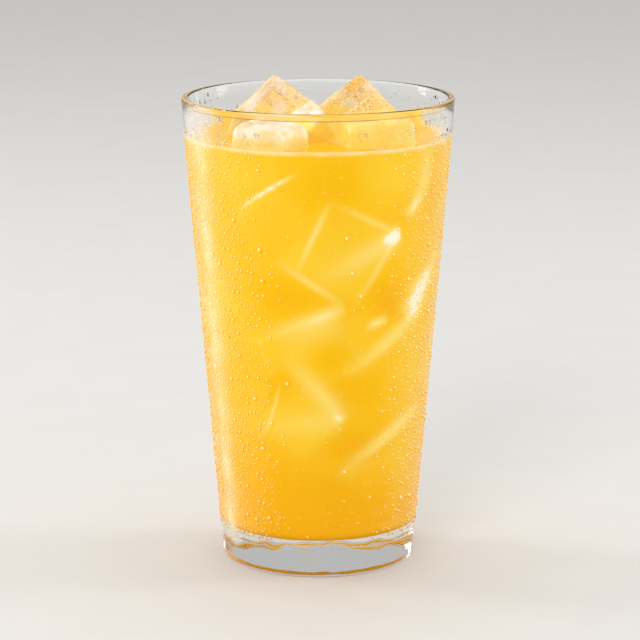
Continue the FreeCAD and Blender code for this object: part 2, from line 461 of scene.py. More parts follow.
# ---- ice: where each cube lies ----
def turnMatrix(yaw, pitch, roll):
    # turned by roll about x, then pitch about y, then yaw about z, in degrees
    a, b, c = np.radians([yaw, pitch, roll])
    aboutZ = np.array([[np.cos(a), -np.sin(a), 0], [np.sin(a), np.cos(a), 0], [0, 0, 1]])
    aboutY = np.array([[np.cos(b), 0, np.sin(b)], [0, 1, 0], [-np.sin(b), 0, np.cos(b)]])
    aboutX = np.array([[1, 0, 0], [0, np.cos(c), -np.sin(c)], [0, np.sin(c), np.cos(c)]])
    return aboutZ @ aboutY @ aboutX


# cubes at the surface: edge, melt, bearing from +x, inset from the wall at the juice's level, rise, turn,
# haze, its colour, and how far above the juice the stain starts to fade and ends
floatingIce = {
    "ice_cube_1": (22.0, 1.5, 160.1, 25.1, 0.5, (162.1, -34.2, 56.8), 0.40, (234, 216, 190), (0, 6)),
    "ice_cube_2": (22.0, 1.5, 61.3, 16.8, -1.2, (37.4, -28.4, 49.9), 0.30, (243, 224, 196), (0, 6)),
    "ice_cube_3": (18.5, 3.4, 238.6, 11.8, -2.3, (-33.0, 4.0, -3.0), 0.92, (254, 238, 214), (-1, 7)),
    "ice_cube_4": (21.0, 2.4, 315.0, 15.5, -1.9, (15.0, -4.0, 4.0), 1.05, (255, 216, 104), (0, 9)),
    "ice_chip": (10.0, 1.4, 261.3, 27.1, 5.1, (0.0, -34.0, 46.0), 0.90, (255, 250, 240), (5.5, 7.5)),
}

# cubes under the surface: bearing from the front to the right, height, inset of the centre from the wall,
# edge, (swing, tilt, clock) as seen from outside, glow of the faces, glow of the edges
sunkenIce = [
    (-23.0, 117.5, 13.2, 17.0, (12, 16, 37.5), 0.45, 0.2),
    (11.5, 106.1, 15.8, 23.4, (2, -6, -31.5), 0.58, 0.0),
    (-9.0, 74.5, 14.5, 21.0, (6, 12, 27.0), 0.75, 0.2),
    (25.5, 78.5, 12.0, 15.0, (5, -10, 33.0), 0.65, 0.3),
    (-6.5, 52.7, 13.0, 18.0, (-12, 6, -39.4), 0.60, 0.2),
    (-45.0, 56.5, 13.5, 18.0, (-10, -5, -20.0), 0.35, 0.3),
    (45.0, 31.5, 13.0, 19.0, (-4, 14, 28.0), 0.40, 0.1),
    (57.0, 108.0, 13.5, 18.0, (8, -6, -18.0), 0.15, 0.1),
    (-70.0, 92.0, 14.0, 21.0, (6, 8, 24.0), 0.7, 0.4),
    (95.0, 66.0, 14.0, 21.0, (-8, 4, -35.0), 0.8, 0.4),
    (100.0, 114.0, 14.5, 20.0, (4, -6, 18.0), 0.8, 0.4),
    (-100.0, 40.0, 13.5, 20.0, (0, 8, 40.0), 0.7, 0.4),
    (-112.0, 114.0, 13.5, 20.0, (-6, -8, 12.0), 0.8, 0.4),
    (140.0, 88.0, 14.5, 22.0, (5, 4, 26.0), 0.9, 0.5),
    (152.0, 38.0, 12.5, 18.0, (0, -6, -30.0), 0.8, 0.4),
    (-145.0, 72.0, 15.0, 22.0, (-4, 6, -22.0), 0.9, 0.5),
    (-168.0, 112.0, 14.0, 20.0, (6, -8, 38.0), 0.8, 0.4),
]


iceGlow = {"floatingFaces": 0.3, "floatingEdges": 0.15, "sunkenMelt": 1.8, "sunkenHaze": 0.3}


def cubePlaces():
    # every cube as a dictionary of its centre, turning matrix, half edge, rounding, cloudiness and glow
    places = {}
    for name, (edge, melt, bearing, inset, rise, turn, haze, veil, stain) in floatingIce.items():
        out = cavityRadius(juiceLevel) - inset
        places[name] = {
            "centre": onCircle(out, math.radians(bearing), juiceLevel + rise), "turn": turnMatrix(*turn),
            "half": edge / 2, "melt": melt, "haze": haze, "veil": veil, "stain": stain,
            "faces": iceGlow["floatingFaces"], "edges": iceGlow["floatingEdges"]}
    for number, (offset, height, inset, edge, turn, faces, edges) in enumerate(sunkenIce, 1):
        bearing = frontBearing + offset
        swing, tilt, clock = turn
        places[f"sunken_{number}"] = {
            "centre": onCircle(cavityRadius(height) - inset, math.radians(bearing), height),
            "turn": turnMatrix(bearing + swing, tilt, clock), "half": edge / 2,
            "melt": iceGlow["sunkenMelt"], "haze": iceGlow["sunkenHaze"], "faces": faces, "edges": edges}
    return places


cubes = cubePlaces()


def insideDepth(points, cube):
    # how deep each point lies inside the cube, from its nearest face; negative outside
    local = np.abs((points - cube["centre"]) @ cube["turn"])
    return (cube["half"] - local).min(axis=-1)


def reachInto(points, directions, cube):
    # slab test: where each ray enters and leaves the cube, with the point and the face where it enters
    local = (points - cube["centre"]) @ cube["turn"]
    along = directions @ cube["turn"]
    along = np.where(np.abs(along) < 1e-6, 1e-6, along)
    side = np.sign(along) * cube["half"]
    first, last = (-side - local) / along, (side - local) / along
    enter, leave = first.max(axis=-1), last.min(axis=-1)
    axis = first.argmax(axis=-1)
    spot = local + along * enter[..., None]
    facing = -np.sign(np.take_along_axis(along, axis[..., None], -1)[..., 0])
    normal = cube["turn"].T[axis] * facing[..., None]
    return enter, leave, spot, axis, normal


# ---- the juice ----
juiceShape = {
    "intoWall": 0.15,
    "columns": 420,
    "wallRows": 150,
    "topRows": 60,
    "bottomRows": 10,
    "arcSteps": 8,
    "climbWidth": 1.2,
    "pocketSlope": 2.5,
    "pocketGap": 0.12,
}
juiceLook = {
    "deepTop": (253, 192, 0),
    "deepFoot": (247, 171, 0),
    "thickest": (250, 178, 0),
    "paleTop": (254, 212, 60),
    "paleFoot": (253, 204, 46),
    "lit": (254, 221, 112),
    "glint": (255, 248, 222),
    "levelLine": (254, 224, 156),
    "surface": (252, 186, 0),
    "waterline": (253, 204, 56),
    "pocket": (255, 234, 158),
    "seeInto": 8.0,
    "edgeInto": 3.0,
    "spread": 0.09,
    "lineWidth": 0.55,
    "brokenAbove": 0.7,
    "lineHeight": 1.35,
    "plain": 0.16,
    "lightFrom": (0.35, -0.75, 0.56),  # outward, to the right, up
    "wet": 0.25,
    "pulp": (252, 206, 80),
    "pulpScale": 900.0,
    "pulpMost": 0.08,
    "roughness": 0.55,
    "ior": 1.35,
    "coatRoughness": 0.06,
}


def juiceSkin():
    # rows of rings: across the bottom, up the wall, then in over the surface
    size = juiceShape
    floor = tumbler["baseThickness"] - size["intoWall"]
    edge = juiceLevel + climb
    corners = [
        (0, floor, 0),
        (cavityRadius(floor) + size["intoWall"], floor, tumbler["cavityCorner"]),
        (cavityRadius(edge) + size["intoWall"], edge, 0),
    ]
    outline = roundedOutline(corners, size["arcSteps"])
    bottom = closerSteps(outline[:2], cavityRadius(floor) / size["bottomRows"])[1:-1]
    wall = closerSteps(outline[-2:], (edge - floor) / size["wallRows"])[1:]
    lower = np.concatenate([bottom, outline[1:-1], wall])
    share = np.linspace(1, 0, size["topRows"] + 2)[1:-1]
    topRadius = (cavityRadius(edge) + size["intoWall"]) * share
    away = cavityRadius(juiceLevel) - topRadius
    topHeight = juiceLevel + climb * np.exp(-np.maximum(away, 0) / (size["climbWidth"] / 2))
    upper = np.stack([topRadius, topHeight], axis=-1)
    rings = np.concatenate([lower, upper])
    angle = np.linspace(0, 2 * math.pi, size["columns"], endpoint=False)
    return onCircle(rings[:, :1], angle, rings[:, 1:]), len(lower), floor


def diveIntoCubes(points):
    # the surface goes down inside each floating cube, at a slope from the waterline and no lower than the
    # cube's underside, which a ray from far below meets first
    gap = juiceShape["pocketGap"]
    lowest = points[..., 2].copy()
    atLevel = points * [1, 1, 0] + [0, 0, juiceLevel]
    below = points * [1, 1, 0] + [0, 0, -100]
    up = np.broadcast_to(np.array([0.0, 0.0, 1.0]), below.shape)
    for name in floatingIce:
        depth = insideDepth(atLevel, cubes[name]) - gap
        enter, leave = reachInto(below, up, cubes[name])[:2]
        floor = below[..., 2] + enter + gap * 2
        pocket = np.maximum(juiceLevel - juiceShape["pocketSlope"] * depth, floor)
        lowest = np.where((depth > 0) & (enter < leave), np.minimum(lowest, pocket), lowest)
    return lowest


def seenInJuice(points):
    # what shows of the cubes through cloudy juice, looking straight in from each point and a little to every
    # side: the glow of the nearest face fades with e to the power of minus its depth over seeInto, and its
    # edges sooner; what is turned to the light, from the left and above at every bearing, is brightest
    look = juiceLook
    around = np.arctan2(points[..., 1], points[..., 0])
    inward = onCircle(-1, around, 0)
    across = np.stack([-np.sin(around), np.cos(around), 0 * around], axis=-1)
    outwardShare, acrossShare, upShare = np.array(look["lightFrom"]) / np.linalg.norm(look["lightFrom"])
    light = -outwardShare * inward + acrossShare * across + [0, 0, upShare]
    glow, lines = np.zeros(points.shape[:-1]), np.zeros(points.shape[:-1])
    sprays = [(0.0, 0.0)] + [(ring * math.cos(turn), ring * math.sin(turn))
                             for ring, turns in ((0.5, 4), (1.0, 7))
                             for turn in np.arange(turns) * 2 * math.pi / turns + ring]
    for side, rise in sprays:
        aim = inward + look["spread"] * (side * across + [0, 0, rise])
        aim /= np.linalg.norm(aim, axis=-1, keepdims=True)
        nearest = np.full(points.shape[:-1], np.inf)
        faceGlow, edgeGlow = np.zeros_like(nearest), np.zeros_like(nearest)
        for cube in cubes.values():
            enter, leave, spot, axis, normal = reachInto(points, aim, cube)
            enter = np.maximum(enter, 0)
            hit = (enter < leave) & (enter < nearest)
            lit = 0.55 + 0.45 * (normal * light).sum(axis=-1)
            margin = cube["half"] - np.abs(spot)
            np.put_along_axis(margin, axis[..., None], np.inf, -1)
            edgeAxis = margin.argmin(axis=-1)
            edgeSide = np.sign(np.take_along_axis(spot, edgeAxis[..., None], -1))
            edgeLit = 0.30 + 0.70 * (cube["turn"].T[edgeAxis] * edgeSide * light).sum(axis=-1)
            fromEdge = np.maximum(margin.min(axis=-1), 0) / look["lineWidth"]
            line = np.exp(-fromEdge ** 2) * np.clip(edgeLit, 0, 1)
            faceGlow = np.where(hit, cube["faces"] * lit * np.exp(-enter / look["seeInto"]), faceGlow)
            edgeGlow = np.where(hit, cube["edges"] * line * np.exp(-enter / look["edgeInto"]), edgeGlow)
            nearest = np.where(hit, enter, nearest)
        glow += faceGlow / len(sprays)
        lines += edgeGlow / len(sprays)
    return glow, lines


# thicker and thinner juice near the wall: bearing from the front, height, width, tall, paler or deeper
juiceClouds = [
    (11.4, 127.5, 15.0, 7.5, -0.35),
    (35.6, 89.5, 6.5, 8.0, -0.80),
    (-15.0, 92.0, 10.0, 6.0, -0.42),
    (6.0, 73.0, 6.0, 6.0, -0.65),
    (-19.0, 64.0, 4.5, 5.0, -0.60),
    (21.0, 43.5, 8.0, 4.5, -0.65),
    (5.0, 24.0, 26.0, 9.0, -0.50),
    (24.0, 60.0, 8.0, 7.0, -0.25),
    (62.0, 125.0, 3.5, 12.0, -0.35),
    (70.0, 70.0, 3.0, 14.0, -0.30),
    (-40.0, 129.0, 11.0, 8.0, 0.30),
    (31.0, 129.0, 12.0, 8.0, 0.50),
    (10.0, 103.0, 11.0, 9.0, 0.12),
    (-12.0, 50.0, 12.0, 7.0, 0.35),
    (54.0, 50.0, 6.0, 22.0, 0.30),
]

# light caught on edges and corners near the wall: start and end as bearing from the front and height, bow to
# the left of that way, half width, brightness, place of the brightest part along the way
edgeGlints = [
    ((-38.0, 118.9), (-8.5, 131.7), 0.3, 0.65, 1.05, 0.42),
    ((6.0, 123.4), (-10.6, 99.6), 0.0, 0.95, 0.56, 0.50),
    ((-20.0, 103.8), (13.0, 89.8), 0.0, 1.10, 0.48, 0.50),
    ((3.0, 123.4), (40.0, 111.0), 0.0, 0.95, 0.42, 0.65),
    ((40.0, 111.5), (17.5, 88.5), 0.0, 1.05, 0.36, 0.40),
    ((30.0, 108.2), (41.5, 111.6), 0.0, 1.60, 1.45, 0.62),
    ((38.5, 106.0), (37.6, 115.0), 0.0, 0.70, 0.35, 0.50),
    ((42.0, 111.5), (-2.0, 97.0), 0.0, 3.40, 0.46, 0.28),
    ((52.0, 141.0), (44.0, 116.0), 4.8, 3.00, 0.46, 0.50),
    ((53.0, 124.5), (43.5, 116.0), 0.8, 1.70, 0.50, 0.60),
    ((13.0, 88.8), (-32.0, 78.3), 0.0, 2.20, 0.48, 0.20),
    ((11.0, 85.5), (-22.0, 76.0), 0.0, 4.20, 0.24, 0.30),
    ((23.5, 82.2), (37.0, 84.4), 0.0, 1.45, 0.62, 0.50),
    ((67.0, 98.5), (48.0, 82.5), 0.0, 3.70, 1.10, 0.55),
    ((78.0, 106.0), (60.0, 92.0), 0.0, 2.40, 0.50, 0.60),
    ((60.0, 86.0), (13.0, 66.5), 0.0, 2.40, 0.50, 0.36),
    ((-21.0, 76.0), (16.0, 51.4), 0.0, 2.70, 0.46, 0.66),
    ((12.5, 53.0), (-38.0, 49.0), 0.0, 3.60, 0.28, 0.16),
    ((7.0, 53.8), (15.0, 52.2), 0.0, 1.10, 0.40, 0.60),
    ((-20.3, 65.0), (-34.5, 44.0), 1.3, 0.50, 0.50, 0.50),
    ((68.0, 53.0), (9.0, 32.8), -1.8, 2.20, 0.54, 0.28),
    ((56.0, 47.0), (26.0, 38.8), -0.8, 0.70, 0.22, 0.50),
]


def onUnrolledWall(points, height):
    # how far round the wall from the front, in degrees, and how many millimetres a degree is at that height
    return bearingOf(points), math.radians(cavityRadius(height))


def clouding(points):
    # each cloud fades with e to the power of minus the squared distance from its middle
    total = np.zeros(points.shape[:-1])
    for bearing, height, wide, tall, amount in juiceClouds:
        around, degree = onUnrolledWall(points, height)
        across = (around - bearing) * degree
        total += amount * np.exp(-(across / wide) ** 2 - ((points[..., 2] - height) / tall) ** 2)
    return total


def glinting(points):
    # each glint is a bowed stroke: e to the power of minus the squared distance from it over its half width,
    # times a sine along it, stretched so that its top falls on the brightest place; ripples break up the
    # bright ones
    look = juiceLook
    total = np.zeros(points.shape[:-1])
    grain = 0.55 * ripple(points, 2.6, 9) + 0.15 * ripple(points, 6.0, 10)
    for start, end, bow, wide, amount, brightest in edgeGlints:
        around, degree = onUnrolledWall(points, (start[1] + end[1]) / 2)
        way = np.array([(end[0] - start[0]) * degree, end[1] - start[1]])
        length = np.linalg.norm(way)
        way /= length
        across, rise = (around - start[0]) * degree, points[..., 2] - start[1]
        share = np.clip((across * way[0] + rise * way[1]) / length, 0, 1)
        off = rise * way[0] - across * way[1] - bow * 4 * share * (1 - share)
        taper = np.sin(math.pi * share ** (math.log(0.5) / math.log(brightest)))
        stroke = amount * taper * np.exp(-(off / wide) ** 2)
        total += stroke * (1 + grain) if amount > look["brokenAbove"] else stroke
    return total


def mixed(first, second, share):
    # a straight blend from one colour to the other, share being held between 0 and 1
    return first + (second - first) * np.clip(share, 0, 1)[..., None]


def wallTint(points):
    # deep yellow to pale with the clouds and the glow of the cubes, then to lit and to glint with the edges
    look = juiceLook
    height = np.maximum(points[..., 2] - tumbler["baseThickness"], 0) / juiceLevel
    deep = mixed(paint(*look["deepFoot"]), paint(*look["deepTop"]), (height * 2.2) ** 0.7)
    pale = mixed(paint(*look["paleFoot"]), paint(*look["paleTop"]), height * 2.5)
    glow, lines = seenInJuice(points)
    unevenness = 0.10 * ripple(points, 26.0, 3) + 0.03 * ripple(points, 9.0, 4)
    share = look["plain"] + unevenness + clouding(points) + glow
    tint = mixed(mixed(deep, pale, share), paint(*look["thickest"]), -share * 1.5)
    lines = lines + glinting(points)
    tint = mixed(tint, paint(*look["lit"]), lines * 1.8)
    return mixed(tint, paint(*look["glint"]), (lines - 0.5) * 1.8)


def surfaceTint(points):
    # deep yellow, pale at the waterline and palest in the pockets, where light that bounces many times
    # deepens it again
    look = juiceLook
    sunk = np.abs(points[..., 2] - juiceLevel)
    shore = np.where((sunk > 0.05) & (sunk < 4), np.exp(-(sunk - 0.4) ** 2 / 0.8), 0)
    plain = paint(*look["surface"]) + np.zeros(points.shape)
    tint = mixed(plain, paint(*look["waterline"]), 0.10 + 0.85 * shore)
    return mixed(tint, paint(*look["pocket"]), (juiceLevel - points[..., 2] - 0.3) / 2.5)


def juiceTint(points, wallRows):
    # the wall has an uneven pale line where the juice ends
    look = juiceLook
    wall = points[:wallRows]
    tint = wallTint(wall)
    lineFoot = juiceLevel + climb - look["lineHeight"] * (1 + 0.3 * ripple(wall, 7.0, 8))
    tint = mixed(tint, paint(*look["levelLine"]), (wall[..., 2] - lineFoot) * 1.3)
    wet = np.zeros(points.shape[:-1])
    wet[wallRows:] = look["wet"]
    return np.concatenate([tint, surfaceTint(points[wallRows:])]), wet


def juiceFinish():
    # dull cloudy juice with pale specks of pulp, wet only at the surface
    look = juiceLook
    material, kit = newMaterial("cloudyJuice")
    specks = kit.between(kit.noise(look["pulpScale"], 3.0), 0.35, 0.75, 0.0, look["pulpMost"])
    tint = kit.blend(specks, kit.attribute("tint", "Color"), paintSocket(*look["pulp"]))
    kit.finish(kit.principled({
        "Base Color": tint, "Roughness": look["roughness"], "IOR": look["ior"], "Specular IOR Level": 0.0,
        "Coat Weight": kit.attribute("wet"), "Coat Roughness": look["coatRoughness"],
        "Coat IOR": look["ior"]}))
    return material


def makeJuice():
    # the turned skin with its surface sunk into pockets round the cubes
    points, wallRows, floor = juiceSkin()
    points[wallRows:, :, 2] = diveIntoCubes(points[wallRows:])
    centreTop = points[-1, :, 2].mean()
    tint, wet = juiceTint(points, wallRows)
    flat = np.concatenate([points.reshape(-1, 3), [[0, 0, floor], [0, 0, centreTop]]])
    colours = withOnes(np.concatenate([tint.reshape(-1, 3), tint[0, :1], tint[-1, :1]]))
    wet = np.concatenate([wet.ravel(), [0, juiceLook["wet"]]])
    piece = putMesh("juice_fill", flat, turnedFaces(*points.shape[:2]), juiceFinish(),
                    {"tint": colours, "wet": wet})
    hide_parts("juice")


# ---- the ice ----
iceLook = {
    "ior": 1.31,
    "roughness": 0.02,
    "white": (251, 246, 236),
    "edgePaint": (252, 208, 110),
    "edgeShare": 0.7,
    "edgeWidth": 0.9,
    "stain": (255, 236, 176),
    # the stain on the veil, painted paler than the juice as painted light on faces that lie in shade
    "stainedVeilWithPaintedLight": (255, 230, 116),
    "veilRoughness": 0.35,
    "veilScale": 260.0,
    "streakStretch": (1.1, 1.1, 0.12),
    "waveScale": 160.0,
    "grainScale": 900.0,
    "bump": (0.6, 0.0008),  # strength, distance
    "lampTint": (244, 240, 228),
    "columns": 120,
    "rows": 74,
    "walk": 60,
}
# clear spots on a face: cube, middle in its own axes, radius
clearSpots = [("ice_cube_2", (2.2, 4.2, 11.0), 4.0), ("ice_cube_2", (5.0, 9.0, 11.0), 1.6)]
# frost along one side of a cube: which of its own axes, where along it frost starts and is full, how strong
frostedSides = {"ice_cube_1": (0, 6.0, 8.0, 0.45), "ice_cube_2": (0, 8.5, 10.5, 0.25)}


def roundedCube(half, melt, columns, rows):
    # directions all round, each walked in from outside until it meets the rounded cube, whose distance is
    # that from the smaller cube inside it, less the rounding
    directions = sphereDirections(columns, rows)
    reach = np.full(len(directions), half * 2.0)
    for _ in range(iceLook["walk"]):
        beyond = np.abs(directions * reach[:, None]) - (half - melt)
        outside = np.linalg.norm(np.maximum(beyond, 0), axis=1) + np.minimum(beyond.max(axis=1), 0)
        reach = reach - (outside - melt)
    return directions * reach[:, None], directions


def iceFinish(name, veilColour, stained, streakShare=0.4):
    # clear ice with a broken white veil; juice clings to it near the waterline and stains it, and the stained
    # veil is painted paler as painted light for faces that lie in shade
    look = iceLook
    material, kit = newMaterial(name)
    dry = kit.between(kit.height(), (juiceLevel + stained[0]) * mm, (juiceLevel + stained[1]) * mm)
    clearTint = kit.blend(dry, paintSocket(*look["stain"]), paintSocket(*look["white"]))
    veilTint = kit.blend(dry, paintSocket(*look["stainedVeilWithPaintedLight"]), paintSocket(*veilColour))
    edge = kit.attribute("edge") * look["edgeShare"]
    veilTint = kit.blend(edge, veilTint, paintSocket(*look["edgePaint"]))
    local = kit.attribute("local", "Vector")
    long = kit.add("ShaderNodeMapping", {}, {"Vector": local, "Scale": look["streakStretch"]})
    streaks = kit.between(kit.noise(0.9, 2.0, long), 0.46, 0.66)
    grain = kit.noise(look["waveScale"]) * 0.8 + kit.noise(look["grainScale"]) * 0.15
    relief = kit.bump(grain + streaks * streakShare * 0.4, *look["bump"])
    clear = kit.principled({
        "Base Color": clearTint, "Roughness": look["roughness"], "IOR": look["ior"],
        "Transmission Weight": 1.0, "Normal": relief})
    cloudy = kit.principled({"Base Color": veilTint, "Roughness": look["veilRoughness"], "Normal": relief})
    broken = kit.between(kit.noise(look["veilScale"]), 0.35, 0.65, 0.6, 0.9) + streaks * streakShare
    both = kit.mixShaders(kit.attribute("veil") * broken, clear, cloudy)
    kit.finish(kit.lampsThrough(both, paintSocket(*look["lampTint"])))
    return material


def iceVeil(shape, place, name, seed):
    # how cloudy the ice is at each point of its skin: patches, edges, clear spots, a frosted side, and the
    # chip's foot, which is covered so that it takes the stained colour of the juice, painted pale as painted
    # light
    margins = np.sort(place["half"] - np.abs(shape), axis=-1)
    edge = np.exp(-(np.maximum(margins[:, 1], 0) / iceLook["edgeWidth"]) ** 2)
    patches = np.clip(0.5 + 0.9 * ripple(shape, 7.0, seed) + 0.25 * ripple(shape, 2.6, seed + 1), 0, 1)
    even = place["haze"] ** 2
    patches = even * (0.7 + 0.6 * patches) + (1 - even) * (0.15 + 1.6 * patches ** 2)
    veil = place["haze"] * patches + 0.30 * edge
    for cube, middle, wide in clearSpots:
        if cube == name:
            veil = veil * (1 - np.exp(-(np.linalg.norm(shape - middle, axis=-1) / wide) ** 4))
    if name in frostedSides:
        axis, start, full, amount = frostedSides[name]
        veil = veil + amount * np.clip((shape[:, axis] - start) / (full - start), 0, 1)
    if name == "ice_chip":
        height = (shape @ place["turn"].T + place["centre"])[:, 2]
        juicy = np.clip((juiceLevel + place["stain"][1] - height) / 1.5, 0, 1)
        veil, edge = veil + 1.6 * juicy, edge * (1 - juicy)
    return {"veil": np.clip(veil, 0, 1.8), "edge": edge}


def makeFloatingIce():
    # rounded cubes, each made uneven by ripples along its own directions
    columns, rows = iceLook["columns"], iceLook["rows"]
    for seed, name in enumerate(floatingIce):
        place = cubes[name]
        shape, directions = roundedCube(place["half"], place["melt"], columns, rows)
        uneven = 0.22 * ripple(shape, 9.0, 20 + seed) + 0.07 * ripple(shape, 3.0, 40 + seed)
        points = (shape + directions * uneven[:, None]) @ place["turn"].T + place["centre"]
        label = name.replace("ice_", "floating_")
        streakShare = 0.5 * (1 - place["haze"]) + 0.1
        finish = iceFinish(label + "_ice", place["veil"], place["stain"], streakShare)
        attributes = {"local": withOnes(shape), **iceVeil(shape, place, name, 80 + seed)}
        piece = putMesh(label, points, turnedFaces(rows, columns), finish, attributes)
        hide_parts(name)


def manyTimes(single, count, size):
    # the faces of one small shape of size points, repeated for count of them that stand one after another
    start = np.arange(count)[:, None, None] * size
    return [(faces[None] + start).reshape(-1, faces.shape[1]) for faces in single]


def ballPoints(centres, radii, columns, rows):
    # small balls: every centre plus its radius times the same directions
    directions = sphereDirections(columns, rows)
    points = centres[:, None] + radii[:, None, None] * directions
    return points.reshape(-1, 3), manyTimes(turnedFaces(rows, columns), len(centres), len(directions))


iceBubbles = {
    "count": 60,
    "radius": (0.12, 0.45),
    "depth": (0.4, 3.0),
    "fromEdge": 1.2,
    "colour": (222, 208, 188),
    "ior": 1.75,
    "columns": 10,
    "rows": 7,
}
# larger bubbles just under a face: cube, place in the cube's own axes, radius
largeBubbles = [
    ("ice_cube_1", (4.6, 9.9, 5.6), 0.75),
    ("ice_cube_1", (1.8, 10.0, 5.0), 0.60),
    ("ice_cube_1", (0.2, 9.8, 8.2), 0.55),
    ("ice_cube_1", (3.4, 9.9, 1.4), 0.50),
    ("ice_cube_2", (6.6, 6.2, 9.8), 0.95),
    ("ice_cube_2", (3.4, 5.8, 10.0), 0.55),
    ("ice_cube_2", (8.6, 3.6, 10.0), 0.45),
]


def makeIceBubbles():
    # air trapped under the faces of the floating cubes
    dice = np.random.default_rng(51)
    look = iceBubbles
    centres = [np.array([cubes[name]["turn"] @ np.array(spot) + cubes[name]["centre"]
                         for name, spot, _ in largeBubbles])]
    radii = [np.array([radius for _, _, radius in largeBubbles])]
    for name in floatingIce:
        cube = cubes[name]
        count = int(look["count"] * cube["half"] / 10)
        local = dice.uniform(-1, 1, (count, 3)) * (cube["half"] - look["fromEdge"])
        face = dice.integers(0, 3, count)
        side = np.sign(dice.uniform(-1, 1, count)) * (cube["half"] - dice.uniform(*look["depth"], count))
        local[np.arange(count), face] = side
        centres.append(local @ cube["turn"].T + cube["centre"])
        radii.append(mostlySmall(dice, look["radius"], count, 2.5))
    centres, radii = np.concatenate(centres), np.concatenate(radii)
    points, faceSets = ballPoints(centres, radii, look["columns"], look["rows"])
    material, kit = newMaterial("trappedAir")
    air = kit.principled({"Base Color": paintSocket(*look["colour"]), "Roughness": 0.02,
                          "IOR": look["ior"], "Transmission Weight": 1.0})
    kit.finish(kit.lampsThrough(air, clearWhite))
    putMesh("ice_bubbles", points, faceSets, material)


sunkenLook = {"veil": (253, 224, 150), "stain": (-1, 5), "columns": 40, "rows": 25}


def makeSunkenIce():
    # all the cubes under the surface as one piece, shaped like the floating ones
    columns, rows = sunkenLook["columns"], sunkenLook["rows"]
    groups, veils = [], []
    for seed, name in enumerate(name for name in cubes if name not in floatingIce):
        place = cubes[name]
        shape, directions = roundedCube(place["half"], place["melt"], columns, rows)
        uneven = 0.2 * ripple(shape, 9.0, 60 + seed)
        groups.append((shape + directions * uneven[:, None]) @ place["turn"].T + place["centre"])
        veils.append(iceVeil(shape, place, name, 120 + seed)["veil"])
    points = np.concatenate(groups)
    faceSets = manyTimes(turnedFaces(rows, columns), len(groups), len(groups[0]))
    finish = iceFinish("sunkenIce", sunkenLook["veil"], sunkenLook["stain"])
    putMesh("sunken_ice", points, faceSets, finish,
            {"local": withOnes(points), "veil": np.concatenate(veils)})


# pitch of the grid, smallest and largest radius, contact angle, spokes, rings, and the share of the places
# that is filled at the sides, and at the front and back
beadKinds = {
    "beads_large": {"pitch": 4.6, "radius": (0.60, 0.90), "contact": 70,
                    "spokes": 12, "rings": 4, "fill": (0.20, 0.01)},
    "beads_medium": {"pitch": 1.9, "radius": (0.42, 0.62), "contact": 80,
                     "spokes": 8, "rings": 3, "fill": (0.58, 0.01)},
    "beads_small": {"pitch": 1.35, "radius": (0.28, 0.42), "contact": 78,
                    "spokes": 6, "rings": 2, "fill": (0.62, 0.02)},
    "beads_fine": {"pitch": 1.05, "radius": (0.14, 0.26), "contact": 74,
                   "spokes": 5, "rings": 2, "fill": (0.42, 0.03)},
}
beadLook = {
    # painted shade darkens each bead's brim; the gleam is a painted highlight towards its upper left
    "brim": (0.93, 0.76, 0.20),
    "gleam": (255, 250, 196),
    "gleamMost": 1.0,
    "gleamTurn": 128.0,
    "cover": 0.94,
    "mistedAndSheened": 0.5,
    "sag": 0.18,
    "sink": 0.04,
    "lowest": 11.5,
    "aboveJuice": 4.0,
    "jitter": 0.32,
    "sidesFrom": (0.30, 0.52),  # left, right
    "sidesOver": 0.40,
    "overlap": 0.05,
    "lookFor": 2.2,
    "ior": 1.33,
    "roughness": 0.03,
    "paintRoughness": 0.15,
    "paintShine": 0.15,
}
# a few large drops of their own on the outer wall: bearing from the front, height, radius
largeDrops = [(-45.5, 146.6, 1.15), (-57.0, 103.0, 0.95), (71.0, 141.5, 0.85), (-63.0, 66.0, 0.95)]


def wallFrame(around, height, inside=False):
    # places on the wall with the outward normal and the two directions along it; inside, outward is inward
    radiusAt = cavityRadius if inside else outerRadius
    place = onCircle(radiusAt(height), around, height)
    lean = radiusAt(1) - radiusAt(0)
    out = np.stack([np.cos(around), np.sin(around), -lean + 0 * around], axis=-1)
    out /= np.linalg.norm(out, axis=-1, keepdims=True)
    across = np.stack([-np.sin(around), np.cos(around), 0 * around], axis=-1)
    upward = np.cross(out, across)
    return (place, -out, -across, upward) if inside else (place, out, across, upward)


